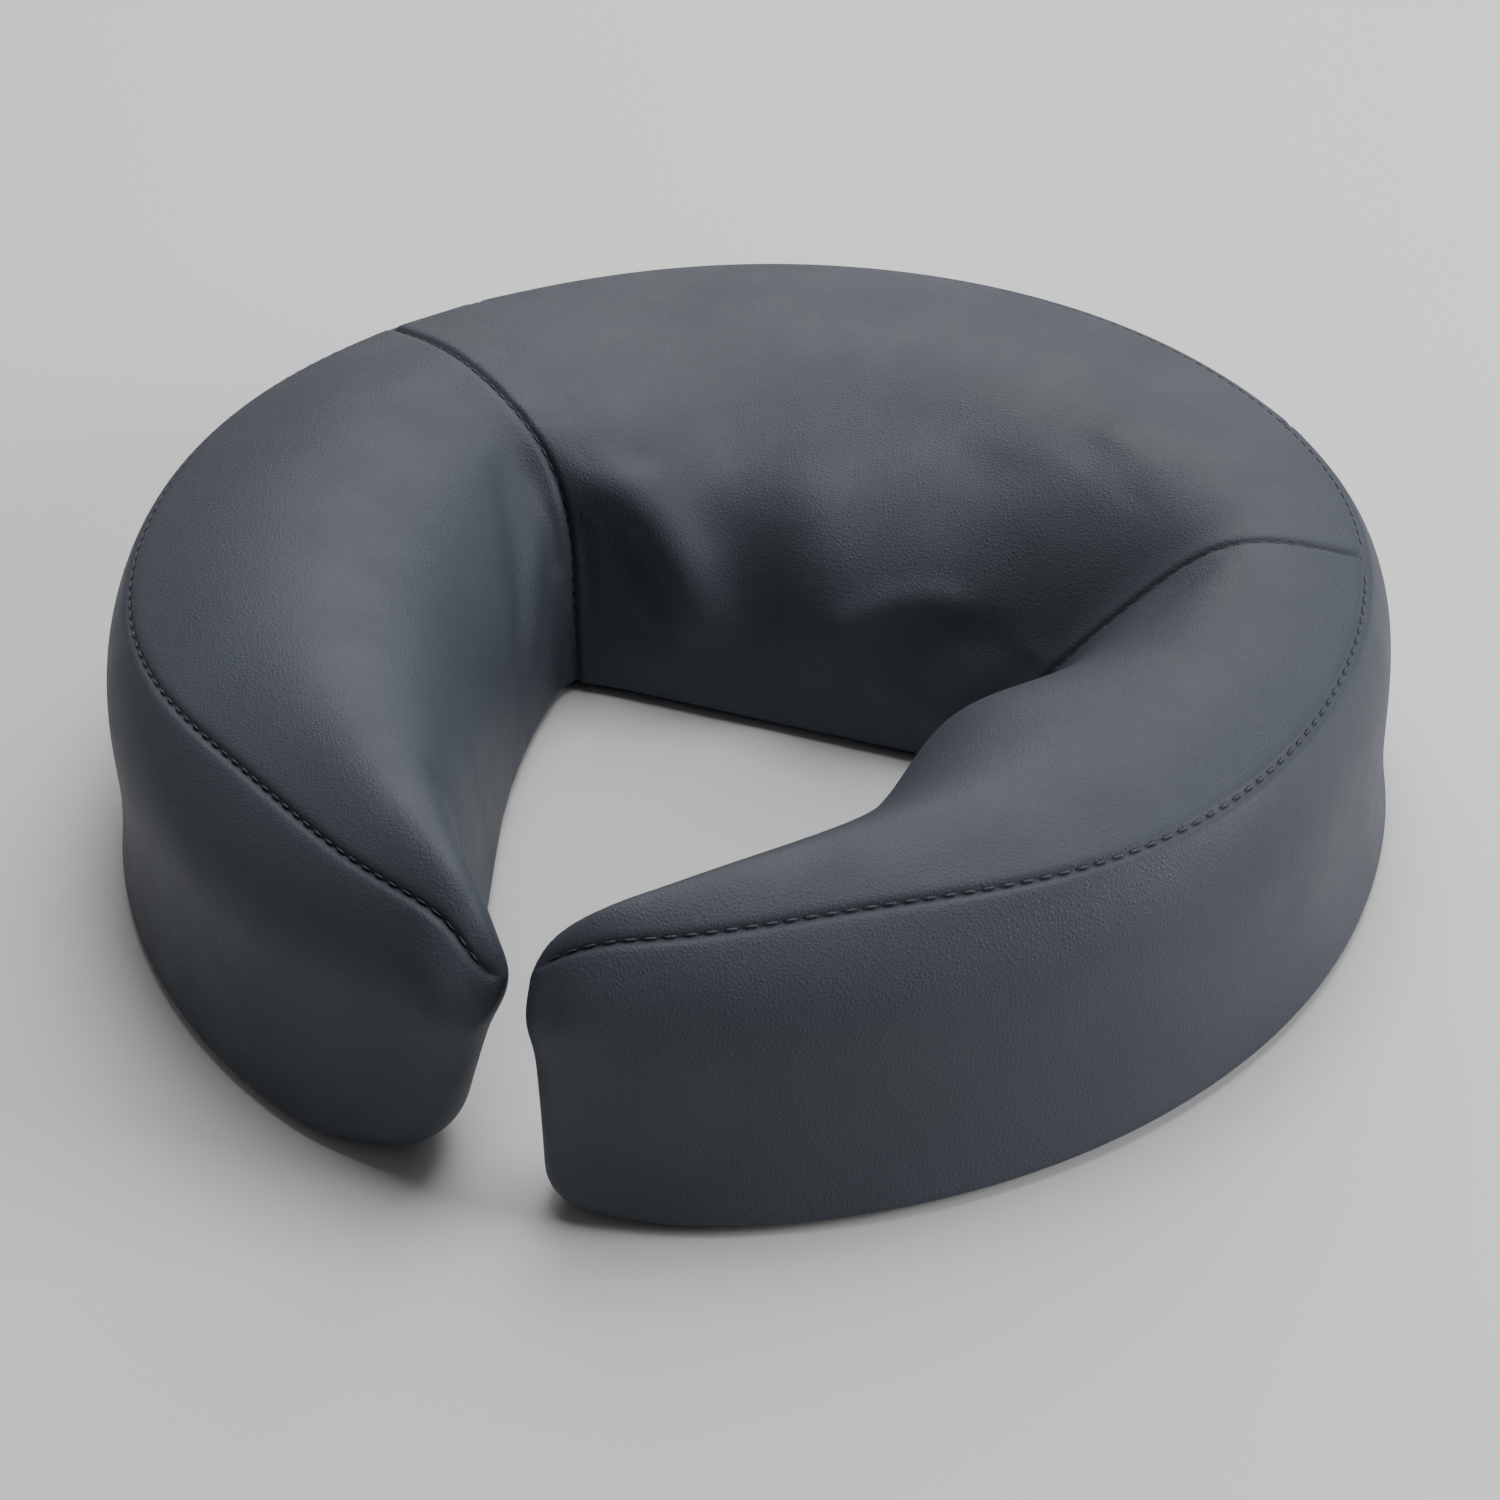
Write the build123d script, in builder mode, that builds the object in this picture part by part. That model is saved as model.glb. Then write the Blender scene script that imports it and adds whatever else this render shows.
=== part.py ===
from build123d import *
from math import acos, atan2, cos, degrees, exp, pi, radians, sin
import os

# Face cradle cushion: a horseshoe pad with a closed brow at +Y and a narrow gap between its two
# tips at -Y.  Every section stands on one upright axis inside the face hole.  Angles about that
# axis are in degrees, from +Y (the brow) towards +X (the right arm), so the tips lie just short
# of -180 and +180.  A section's own x runs outward from the axis and its y runs up.

# ---- driving dimensions, mm ----
axis_y = -1.05
half_width = 160.0
front_reach = 4.0
back_arc_radius = 156.9
back_arc_centre = 9.5
rim_height = 72.7
side_inset = 6.0
back_inset = 8.5
front_inset = 10.5
hole_brow_edge = 28.0
hole_half_width = 62.0
hole_flank_reach = 66.3
hole_flank_slope = 0.333
hole_corner_softness = 12
arm_tip_width = 23.0
tip_gap = 19.0

# ---- where the outline, the rim and the crown change along the cushion ----
side_start_angle = 68.0
side_blend_angle = 5.0
arm_middle_angle = 150.0
arm_spread_angle = 22.0
brow_spread_angle = 48.0
arm_shoulder_power = 4.2
brow_shoulder_power = 2.9
arm_crown = 7.8
brow_crown = 3.3
crown_share = 0.45
smallest_share = 0.05

# ---- seams between the three top panels, degrees ----
left_seam_angle = -61.0
right_seam_angle = 72.0

# ---- cover, foam and base, mm ----
strip_thickness = 1.6
panel_thickness = 1.4
panel_clearance = 0.6
skin = 1.2
foam_gap = 1.6
foam_split_height = 46.0
wall_bulge = 4.5
section_step = 4.0
seam_gap = 0.1

# ---- zip in the back wall, mm and degrees ----
zip_half_angle = 48.0
chain_half_angle = 44.5
slider_rest_angle = 41.0
stop_angle = 45.6
stop_width = 2.5
zip_height = 26.0
window_height = 12.0
zip_slit = 1.2
tape_thickness = 0.6
tape_reach = 9.0
tape_clearance = 0.15
tape_overrun_angle = 2.0
tooth_height = 2.6
tooth_depth = 2.2
tooth_width = 1.7
tooth_pitch = 3.0
tooth_corner = 0.4
channel_depth = 8.0
channel_height = 30.0
channel_overrun_angle = 3.0
running_gap = 0.4

# ---- slider and pull tab, mm ----
slider_length = 10.0
slider_height = 9.0
slider_corner_radius = 1.5
plate_thickness = 1.2
flange_thickness = 0.8
flange_depth = 0.4
web_thickness = 0.5
web_length = 4.0
bridge_length = 6.4
bridge_width = 2.0
bridge_thickness = 0.9
bridge_rise = 3.2
pull_pin_radius = 0.6
pull_height = 7.0
pull_thickness = 1.0
pull_arm_width = 1.2
pull_slot_length = 4.6
pull_length = 24.0

# ---- hook-and-loop strips under the base, mm ----
strip_width = 25.0
side_strip_length = 110.0
side_strip_x = 108.0
side_strip_y = -20.0
brow_strip_length = 150.0
brow_strip_y = 96.0
strip_corner_radius = 3.0

# ---- worked out from the dimensions above ----
end_angle = 180 - degrees(atan2(tip_gap / 2, half_width))
base_z = strip_thickness
foam_floor = base_z + panel_thickness
foam_depth = skin + foam_gap
wall_height = rim_height - base_z
zip_axis = Axis((0, axis_y + back_arc_centre, 0), (0, 0, 1))


def outer_radius(angle):
    """Foot of the outer wall: a round back that eases into the sides and the tips."""
    across = back_arc_centre * sin(radians(angle))
    back = back_arc_centre * cos(radians(angle)) + (back_arc_radius**2 - across**2) ** 0.5
    front = half_width + front_reach * max(0.0, -cos(radians(angle))) ** 6
    share = 1 / (1 + exp((abs(angle) - side_start_angle) / side_blend_angle))
    return share * back + (1 - share) * front


def rim_inset(angle):
    """How far the top rim stands inside the foot of the outer wall."""
    back = back_inset * max(0.0, cos(radians(angle))) ** 2
    front = front_inset * exp(-(((abs(angle) - arm_middle_angle) / arm_spread_angle) ** 2))
    return side_inset + back + front


def hole_radius(angle):
    """Foot of the face hole's wall: straight at the brow, with arms that close to the tips."""
    across = sin(radians(abs(angle)))
    along = cos(radians(angle))
    limits = [outer_radius(angle) - arm_tip_width]
    for reach, share in (
        (hole_brow_edge, along),
        (hole_half_width, across),
        (hole_flank_reach, across - hole_flank_slope * along),
    ):
        if share > smallest_share:
            limits.append(reach / share)
    softness = hole_corner_softness
    return sum(limit**-softness for limit in limits) ** (-1 / softness)


def brow_share(angle):
    """1 at the middle of the brow, falling to 0 on the arms."""
    return exp(-((abs(angle) / brow_spread_angle) ** 4))


def shoulder_power(angle):
    """How square the shoulder between the top and the hole wall is."""
    return arm_shoulder_power + (brow_shoulder_power - arm_shoulder_power) * brow_share(angle)


def crown_height(angle):
    """How far the top swells above the rim."""
    return arm_crown + (brow_crown - arm_crown) * brow_share(angle)


def wall_point(angle, height, depth=0.0):
    """Point of the outer wall at a height, moved in by depth."""
    rise = (height - base_z) / wall_height
    lean = rim_inset(angle) * rise
    bulge = 4 * wall_bulge * rise * (1 - rise)
    return (outer_radius(angle) - lean + bulge - depth, height)


def wall_arc(angle, low, high, depth=0.0):
    """Three points of the outer wall from one height to another."""
    return [wall_point(angle, height, depth) for height in (low, (low + high) / 2, high)]


def crown_point(angle, turn, depth):
    """Point of the top, from the rim (turn 0) over the crown and down the hole wall (turn 90)."""
    power = shoulder_power(angle)
    share = sin(radians(turn)) ** (2 / power)
    drop = max(cos(radians(turn)), 0.0) ** (2 / power)
    rim = outer_radius(angle) - rim_inset(angle) - depth
    hole = hole_radius(angle) + depth
    swell = crown_height(angle) * sin(min(share / crown_share, 1.0) * pi / 2)
    return (rim - share * (rim - hole), base_z + (wall_height + swell - depth) * drop)


def turn_at(angle, height, depth):
    """Turn at which the hole wall passes a height; the crown has its full swell there."""
    full = wall_height + crown_height(angle) - depth
    return degrees(acos(((height - base_z) / full) ** (shoulder_power(angle) / 2)))


def crown_curve(angle, first, last, depth=0.0):
    """Points along the top between two turns, closer together where the shoulder is round."""
    steps = (0, 0.12, 0.35, 0.6, 0.8, 0.92, 1)
    return [crown_point(angle, first + (last - first) * step, depth) for step in steps]


def upright_plane(angle, centre_y=axis_y):
    """Upright plane through an axis on the Y line: its x runs outward at this angle, y up."""
    outward = (sin(radians(angle)), cos(radians(angle)), 0)
    facing = (cos(radians(angle)), -sin(radians(angle)), 0)
    return Plane(origin=(0, centre_y, 0), x_dir=outward, z_dir=facing)


def stations(first, last):
    """Section angles from first to last, on one grid of steps that all the pieces share."""
    inside = [index * section_step for index in range(-45, 46)]
    margin = section_step / 3
    return [first] + [angle for angle in inside if first + margin < angle < last - margin] + [last]


def top_skin_section(angle):
    """Cover leather of the top and the hole wall at one angle."""
    outside = crown_curve(angle, 0, 90)
    inside = crown_curve(angle, 0, 90, skin)
    with BuildSketch(upright_plane(angle)) as section:
        with BuildLine():
            Spline(outside)
            Line(outside[-1], inside[-1])
            Spline(inside)
            Line(inside[0], outside[0])
        make_face()
    return section.sketch


def wall_skin_section(angle, low, high):
    """Cover leather of the outer wall at one angle, between two heights."""
    outside = wall_arc(angle, low, high)
    inside = wall_arc(angle, low, min(high, rim_height - seam_gap - skin), skin)
    with BuildSketch(upright_plane(angle)) as section:
        with BuildLine():
            ThreePointArc(*outside)
            Line(outside[-1], inside[-1])
            ThreePointArc(*inside)
            Line(inside[0], outside[0])
        make_face()
    return section.sketch


def upper_section(angle, low, wall_depth, top_depth):
    """Section of the pad from a height up to the crown, moved in from the wall and the top."""
    wall = wall_arc(angle, low, rim_height - top_depth, wall_depth)
    top = crown_curve(angle, 0, turn_at(angle, low, top_depth), top_depth)
    with BuildSketch(upright_plane(angle)) as section:
        with BuildLine():
            ThreePointArc(*wall)
            Spline([wall[-1]] + top[1:])
            Line(top[-1], wall[0])
        make_face()
    return section.sketch


def lower_section(angle, low, high, depth):
    """Section of the pad between two heights below the crown, moved in by depth."""
    wall = wall_arc(angle, low, high, depth)
    turns = [turn_at(angle, height, depth) for height in (high, (low + high) / 2, low)]
    hole = [crown_point(angle, turn, depth) for turn in turns]
    with BuildSketch(upright_plane(angle)) as section:
        with BuildLine():
            ThreePointArc(*wall)
            Line(wall[-1], hole[0])
            ThreePointArc(*hole)
            Line(hole[-1], wall[0])
        make_face()
    return section.sketch


def plan_point(angle, radius):
    """Plan position of a point at this angle and distance from the sections' axis."""
    return (radius * sin(radians(angle)), axis_y + radius * cos(radians(angle)))


def zip_section(half_angle, low_point, high_point, thickness):
    """Slanted strip that follows the back wall between two wall points, for a revolve."""
    inner = [(high_point[0] - thickness, high_point[1]), (low_point[0] - thickness, low_point[1])]
    with BuildSketch(upright_plane(half_angle, axis_y + back_arc_centre)) as section:
        Polygon(low_point, high_point, *inner, align=None)
    return section.sketch


def zip_wall_point(height, depth):
    """Point of the back wall's section, measured from the zip's own axis."""
    radius, level = wall_point(0, height, depth)
    return (radius - back_arc_centre, level)


def zip_locations(half_count, offset):
    """Places along the chain, each turned to face outward."""
    pitch_angle = degrees(tooth_pitch / back_arc_radius)
    for index in range(-half_count, half_count + 1):
        angle = (index + offset) * pitch_angle
        if abs(angle) < chain_half_angle:
            yield zip_frame(angle)


def zip_frame(angle):
    """Frame on the chain's outer face: x runs outward, y along the zip, z up."""
    radius = zip_wall_point(zip_height, 0)[0]
    place = (radius * sin(radians(angle)), axis_y + back_arc_centre + radius * cos(radians(angle)))
    outward = (sin(radians(angle)), cos(radians(angle)), 0)
    return Plane(origin=(*place, zip_height), x_dir=outward, z_dir=(0, 0, 1))


# ---- cover: three top panels, each with its own stretch of the hole wall ----
brow_sections = [top_skin_section(angle) for angle in stations(left_seam_angle, right_seam_angle)]
with BuildPart() as cover_brow_panel:
    loft(sections=brow_sections)
cover_brow_panel.part.label = "cover_brow_panel"

left_sections = [top_skin_section(angle) for angle in stations(-end_angle, left_seam_angle)]
with BuildPart() as cover_left_panel:
    loft(sections=left_sections)
cover_left_panel.part.label = "cover_left_panel"

right_sections = [top_skin_section(angle) for angle in stations(right_seam_angle, end_angle)]
with BuildPart() as cover_right_panel:
    loft(sections=right_sections)
cover_right_panel.part.label = "cover_right_panel"


# ---- cover: outer wall of each arm, closed across the arm's tip ----
def wall_sections(first, last):
    return [wall_skin_section(angle, base_z, rim_height - seam_gap) for angle in stations(first, last)]


left_wall_sections = wall_sections(-end_angle, -zip_half_angle)
left_tip_section = upper_section(-end_angle, base_z, skin / 2, skin + seam_gap)
with BuildPart() as boxing_left:
    loft(sections=left_wall_sections)
    extrude(left_tip_section, amount=skin)
boxing_left.part.label = "boxing_left"

right_wall_sections = wall_sections(zip_half_angle, end_angle)
right_tip_section = upper_section(end_angle, base_z, skin / 2, skin + seam_gap)
with BuildPart() as boxing_right:
    loft(sections=right_wall_sections)
    extrude(right_tip_section, amount=-skin)
boxing_right.part.label = "boxing_right"

# ---- cover: the back wall's bands above and below the zip ----
window_low = zip_height - window_height / 2
window_high = zip_height + window_height / 2
band_angles = stations(-zip_half_angle, zip_half_angle)

band_top = rim_height - seam_gap
upper_band_sections = [wall_skin_section(angle, window_high, band_top) for angle in band_angles]
with BuildPart() as zip_band_upper:
    loft(sections=upper_band_sections)
zip_band_upper.part.label = "zip_band_upper"

lower_band_sections = [wall_skin_section(angle, base_z, window_low) for angle in band_angles]
with BuildPart() as zip_band_lower:
    loft(sections=lower_band_sections)
zip_band_lower.part.label = "zip_band_lower"

# ---- foam: one crescent, relieved behind the zip and parted into two layers ----
foam_end = end_angle - degrees(foam_depth / half_width)
foam_angles = stations(-foam_end, foam_end)
core_sections = [lower_section(angle, foam_floor, foam_split_height, foam_depth) for angle in foam_angles]
comfort_sections = [
    upper_section(angle, foam_split_height, foam_depth, foam_depth) for angle in foam_angles
]
channel_radius = zip_wall_point(zip_height, channel_depth)[0]
channel_plane = upright_plane(zip_half_angle + channel_overrun_angle, axis_y + back_arc_centre)
with BuildSketch(channel_plane) as channel_section:
    with Locations((channel_radius, zip_height)):
        Rectangle(3 * channel_depth, channel_height, align=(Align.MIN, Align.CENTER))
with BuildPart() as zip_channel:
    channel_arc = 2 * (zip_half_angle + channel_overrun_angle)
    revolve(channel_section.sketch, axis=zip_axis, revolution_arc=channel_arc)

with BuildPart() as foam_support_core:
    loft(sections=core_sections, ruled=True)
    add(zip_channel.part, mode=Mode.SUBTRACT)
foam_support_core.part.label = "foam_support_core"

with BuildPart() as foam_comfort_layer:
    loft(sections=comfort_sections, ruled=True)
foam_comfort_layer.part.label = "foam_comfort_layer"

# ---- base panel: a flat crescent sewn in between the walls ----
panel_gap = skin + panel_clearance
panel_end = end_angle - degrees(panel_gap / half_width)
panel_angles = stations(-panel_end, panel_end)
panel_outside = [plan_point(angle, outer_radius(angle) - panel_gap) for angle in panel_angles]
panel_inside = [plan_point(angle, hole_radius(angle) + panel_gap) for angle in reversed(panel_angles)]
with BuildPart() as base_panel:
    with BuildSketch(Plane.XY.offset(base_z)):
        with BuildLine():
            Spline(panel_outside)
            Line(panel_outside[-1], panel_inside[0])
            Spline(panel_inside)
            Line(panel_inside[-1], panel_outside[0])
        make_face()
    extrude(amount=panel_thickness)
base_panel.part.label = "base_panel"


# ---- hook-and-loop strips sewn under the base panel ----
def strip_outline(centre, length, turn):
    """A strip with rounded corners, its length turned from X."""
    with BuildSketch() as outline:
        with Locations(Location((*centre, 0), (0, 0, turn))):
            RectangleRounded(length, strip_width, strip_corner_radius)
    return outline.sketch


left_strip_outline = strip_outline((-side_strip_x, side_strip_y), side_strip_length, 90)
with BuildPart() as hook_strip_left:
    extrude(left_strip_outline, amount=strip_thickness)
hook_strip_left.part.label = "hook_strip_left"

right_strip_outline = strip_outline((side_strip_x, side_strip_y), side_strip_length, 90)
with BuildPart() as hook_strip_right:
    extrude(right_strip_outline, amount=strip_thickness)
hook_strip_right.part.label = "hook_strip_right"

brow_strip_outline = strip_outline((0, brow_strip_y), brow_strip_length, 0)
with BuildPart() as hook_strip_brow:
    extrude(brow_strip_outline, amount=strip_thickness)
hook_strip_brow.part.label = "hook_strip_brow"

# ---- zip: two tapes behind the bands, two rows of teeth, stops at both ends ----
tape_arc = 2 * (zip_half_angle + tape_overrun_angle)
tape_depth = skin + tape_clearance
row_reach = zip_slit / 2 + tooth_height
row_top = zip_height + row_reach
row_bottom = zip_height - row_reach

upper_tape_section = zip_section(
    zip_half_angle + tape_overrun_angle,
    zip_wall_point(row_top, tape_depth),
    zip_wall_point(row_top + tape_reach, tape_depth),
    tape_thickness,
)
with BuildPart() as zip_tape_upper:
    revolve(upper_tape_section, axis=zip_axis, revolution_arc=tape_arc)
zip_tape_upper.part.label = "zip_tape_upper"

lower_tape_section = zip_section(
    zip_half_angle + tape_overrun_angle,
    zip_wall_point(row_bottom - tape_reach, tape_depth),
    zip_wall_point(row_bottom, tape_depth),
    tape_thickness,
)
with BuildPart() as zip_tape_lower:
    revolve(lower_tape_section, axis=zip_axis, revolution_arc=tape_arc)
zip_tape_lower.part.label = "zip_tape_lower"

tooth_face_depth = tape_depth + tape_thickness / 2 - tooth_depth / 2
tooth_middle = -tooth_face_depth - tooth_depth / 2
half_chain = int(radians(chain_half_angle) * back_arc_radius / tooth_pitch) + 1


def tooth(level):
    """One tooth, standing on the tape's edge and proud of both its faces."""
    body = Box(tooth_depth, tooth_width, tooth_height)
    return Pos(tooth_middle, 0, level) * fillet(body.edges().filter_by(Axis.X), tooth_corner)


upper_tooth = tooth(zip_slit / 2 + tooth_height / 2)
with BuildPart() as zip_teeth_upper:
    with Locations(*zip_locations(half_chain, 0)):
        add(upper_tooth)
zip_teeth_upper.part.label = "zip_teeth_upper"

lower_tooth = tooth(-zip_slit / 2 - tooth_height / 2)
with BuildPart() as zip_teeth_lower:
    with Locations(*zip_locations(half_chain, 0.5)):
        add(lower_tooth)
zip_teeth_lower.part.label = "zip_teeth_lower"

stop = Pos(tooth_middle, 0, 0) * Box(tooth_depth, stop_width, 2 * row_reach)
with BuildPart() as zip_end_stops:
    with Locations(zip_frame(-stop_angle), zip_frame(stop_angle)):
        add(stop)
zip_end_stops.part.label = "zip_end_stops"

# ---- slider: front and back plates, a thin web in the slit, a bridge for the pull tab ----
slider_frame = zip_frame(slider_rest_angle)
face_plane = Plane(slider_frame.origin, x_dir=slider_frame.y_dir, z_dir=slider_frame.x_dir)
front_face = running_gap - tooth_face_depth
back_face = -tooth_face_depth - tooth_depth - running_gap
front_skin = front_face + plate_thickness
bridge_clear = bridge_rise - bridge_thickness
with BuildPart() as zip_slider:
    with BuildSketch(face_plane.offset(front_face)):
        RectangleRounded(slider_length, slider_height, slider_corner_radius)
    extrude(amount=plate_thickness)
    with BuildSketch(face_plane.offset(back_face)):
        RectangleRounded(slider_length, slider_height, slider_corner_radius)
    extrude(amount=-plate_thickness)
    with BuildSketch(face_plane.offset(back_face)):
        Rectangle(web_length, web_thickness)
    extrude(amount=front_face - back_face)
    with BuildSketch(face_plane.offset(front_face)):
        with GridLocations(0, slider_height - flange_thickness, 1, 2):
            Rectangle(slider_length - 2 * slider_corner_radius, flange_thickness)
    extrude(amount=-flange_depth)
    with BuildSketch(face_plane.offset(front_skin)):
        with GridLocations(bridge_length - bridge_thickness, 0, 2, 1):
            Rectangle(bridge_thickness, bridge_width)
    extrude(amount=bridge_clear)
    with BuildSketch(face_plane.offset(front_skin + bridge_clear)):
        Rectangle(bridge_length, bridge_width)
    extrude(amount=bridge_thickness)
zip_slider.part.label = "zip_slider"

# ---- pull tab: an upright pin under the bridge, two arms past it, and a slotted grip ----
pin_plane = face_plane.offset(front_skin + bridge_clear / 2)
with BuildPart() as zip_pull_tab:
    with BuildSketch(pin_plane):
        with Locations((-pull_pin_radius, 0)):
            RectangleRounded(pull_length, pull_height, pull_pin_radius, align=(Align.MIN, Align.CENTER))
        with Locations((pull_pin_radius, 0)):
            Rectangle(
                pull_slot_length - pull_pin_radius,
                pull_height - 2 * pull_arm_width,
                align=(Align.MIN, Align.CENTER),
                mode=Mode.SUBTRACT,
            )
        with Locations((pull_length - pull_slot_length, 0)):
            SlotOverall(pull_slot_length, pull_height / 3, mode=Mode.SUBTRACT)
    extrude(amount=pull_thickness / 2, both=True)
    with BuildSketch(Plane(pin_plane.origin, x_dir=pin_plane.z_dir, z_dir=(0, 0, 1))):
        Circle(pull_pin_radius)
    extrude(amount=pull_height / 2 - pull_pin_radius, both=True)
zip_pull_tab.part.label = "zip_pull_tab"

# ---- one file per piece ----
pieces = [
    cover_brow_panel,
    cover_left_panel,
    cover_right_panel,
    boxing_left,
    boxing_right,
    zip_band_upper,
    zip_band_lower,
    zip_tape_upper,
    zip_tape_lower,
    zip_teeth_upper,
    zip_teeth_lower,
    zip_end_stops,
    zip_slider,
    zip_pull_tab,
    base_panel,
    hook_strip_left,
    hook_strip_right,
    hook_strip_brow,
    foam_support_core,
    foam_comfort_layer,
]
os.makedirs("parts", exist_ok=True)
for piece in pieces:
    export_step(piece.part, f"parts/{piece.part.label}.step")
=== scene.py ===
"""Face cradle cushion: leather cover, seams, zip, base and foam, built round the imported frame."""
import math

import bpy
import numpy as np
from mathutils import Matrix, Vector


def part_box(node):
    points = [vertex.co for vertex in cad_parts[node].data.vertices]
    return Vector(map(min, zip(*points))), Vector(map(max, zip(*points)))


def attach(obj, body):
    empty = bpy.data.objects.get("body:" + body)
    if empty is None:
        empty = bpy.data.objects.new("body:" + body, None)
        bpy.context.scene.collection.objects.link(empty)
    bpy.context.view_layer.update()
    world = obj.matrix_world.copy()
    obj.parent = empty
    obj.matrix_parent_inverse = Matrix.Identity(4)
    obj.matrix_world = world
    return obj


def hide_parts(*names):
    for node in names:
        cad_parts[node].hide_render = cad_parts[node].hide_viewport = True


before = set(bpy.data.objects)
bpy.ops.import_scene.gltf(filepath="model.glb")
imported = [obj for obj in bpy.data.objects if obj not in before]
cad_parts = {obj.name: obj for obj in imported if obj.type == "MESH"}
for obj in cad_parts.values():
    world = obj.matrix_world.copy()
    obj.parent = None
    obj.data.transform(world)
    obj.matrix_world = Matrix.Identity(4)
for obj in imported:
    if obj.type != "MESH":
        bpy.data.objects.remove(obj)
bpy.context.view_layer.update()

MM = 0.001

# ---------------------------------------------------------------- sizes, mm
# Angles are in degrees about an upright axis in the face hole, from +Y (brow) towards +X.
AXIS_Y = -1.05
FLOOR_OF_WALL = 1.6
RIM_HEIGHT = 72.7
HALF_WIDTH = 160.0
BACK_RADIUS = 156.9
BACK_CENTRE = 9.5
ARM_TIP_WIDTH = 23.0
ARM_BULGE = 4.0
SIDE_START, SIDE_BLEND = 68.0, 5.0
SIDE_SHIFT = 1.6
CORNER_FULLNESS, CORNER_SPREAD = 2.0, 15.0
LEFT_FULLNESS, LEFT_FULLEST, LEFT_SPREAD = 1.8, -84.0, 18.0
HOLE_BROW, HOLE_SIDE, HOLE_ARM = 26.5, 61.5, 66.3
HOLE_TURN, HOLE_TAPER = 0.05, 0.333
HOLE_SQUARENESS = 12.0
RIM_INSET, BACK_INSET, ARM_INSET = 7.5, 6.5, 12.0
ARM_MIDDLE, ARM_SPREAD = 150, 22
LEFT_DIP, LEFT_DIP_LENGTH = 14.0, 13.0
RIGHT_DIP, RIGHT_DIP_LENGTH = 14.0, 24.0
BROW_DIP = 1.5
FOOT_ROUND, LEFT_FOOT_ROUND, RIGHT_FOOT_ROUND, FOOT_LENGTH = 2.5, 13.0, 6.0, 26.0
ARM_SHOULDER, BROW_SHOULDER = 4.2, 1.3
ARM_CROWN, BROW_FLATTENING, CROWN_LENGTH = 7.8, 4.5, 50.0
CROWN_SHARE = 0.45
BROW_SPREAD = 48.0
NOSE_LENGTH = 11.5
LEFT_END, RIGHT_END = -177.3, 177.3
LEFT_LEAN, RIGHT_LEAN = -8.8, 0.0
LEFT_SEAM_RIM, LEFT_SEAM_HOLE = -58.3, -64.2
RIGHT_SEAM_RIM, RIGHT_SEAM_HOLE = 73.5, 70.0
ZIP_ANGLE = 48.0
ZIP_LOW, ZIP_HIGH = 20.0, 32.0
TIP_BULGE, TIP_BULGE_HEIGHT = 1.6, 53.0
FOOT_FLARE = 2.0
SKIRT = 2.2
TOP_LENGTH = 165.0  # from the rim over the top and down the hole wall
GRID_STEP = 2.2
CLOTH_STEP = 5.0
CLOTH_CAP = 0.6
FOAM_SHORT = 2.2  # degrees that the foam ends before the tips
CORE_FLOOR, LAYER_SPLIT = 4.0, 46.0
CORE_DEPTH, COMFORT_DEPTH = 6.0, 7.0
PANEL_SHORT, PANEL_ROLL = 0.7, 0.45
SEAM_MARGIN, STRIP_MARGIN = 5.0, 2.5


def smoothstep(low, high, value):
    """0 below low, 1 above high, and smooth between."""
    t = np.clip((value - low) / (high - low), 0, 1)
    return t * t * (3 - 2 * t)


def bell(value, width):
    """1 at 0, falling smoothly away over width."""
    return np.exp(-((value / width) ** 2))


def end_distance(angle):
    """Distance along the outline from an angle to the nearer tip's end."""
    left = np.radians(angle - LEFT_END) * HALF_WIDTH
    right = np.radians(RIGHT_END - angle) * HALF_WIDTH
    return np.clip(np.minimum(left, right), 0, None)


def rounded(distance, length):
    """0 at an end and 1 from length on, along a quarter of an ellipse."""
    return np.sqrt(1 - np.clip(1 - distance / length, 0, 1) ** 2)


def nose(angle):
    """Share of an arm's half width that is left where it rounds off at its tip."""
    return rounded(end_distance(angle), NOSE_LENGTH)


def full_outer(angle):
    """Outline before the tips are rounded."""
    a = np.radians(angle)
    back = BACK_CENTRE * np.cos(a) + np.sqrt(BACK_RADIUS**2 - (BACK_CENTRE * np.sin(a)) ** 2)
    front = HALF_WIDTH - CLOTH_CAP + ARM_BULGE * np.clip(-np.cos(a), 0, None) ** 6
    share = 1 / (1 + np.exp((np.abs(angle) - SIDE_START) / SIDE_BLEND))
    corner = CORNER_FULLNESS * bell(np.abs(angle) - SIDE_START, CORNER_SPREAD)
    corner = corner + LEFT_FULLNESS * bell(angle - LEFT_FULLEST, LEFT_SPREAD)
    return share * back + (1 - share) * front + SIDE_SHIFT * np.sin(a) + corner


def full_hole(angle):
    """Foot of the hole wall before the tips are rounded."""
    a = np.radians(angle)
    across, along = np.abs(np.sin(a)), np.cos(a)
    limits = [full_outer(angle) - ARM_TIP_WIDTH]
    for reach, share in (
        (HOLE_BROW, along + HOLE_TURN * np.sin(a)),
        (HOLE_SIDE, across),
        (HOLE_ARM, across - HOLE_TAPER * along),
    ):
        limits.append(reach / np.clip(share, 0.05, None))
    return sum(limit**-HOLE_SQUARENESS for limit in limits) ** (-1 / HOLE_SQUARENESS)


def middle(angle):
    """Half way between the outline and the hole."""
    return (full_outer(angle) + full_hole(angle)) / 2


def outer(angle):
    """Outline, rounded off at the tips."""
    return middle(angle) + (full_outer(angle) - middle(angle)) * nose(angle)


def hole(angle):
    """Foot of the hole wall, rounded off at the tips."""
    return middle(angle) + (full_hole(angle) - middle(angle)) * nose(angle)


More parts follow.
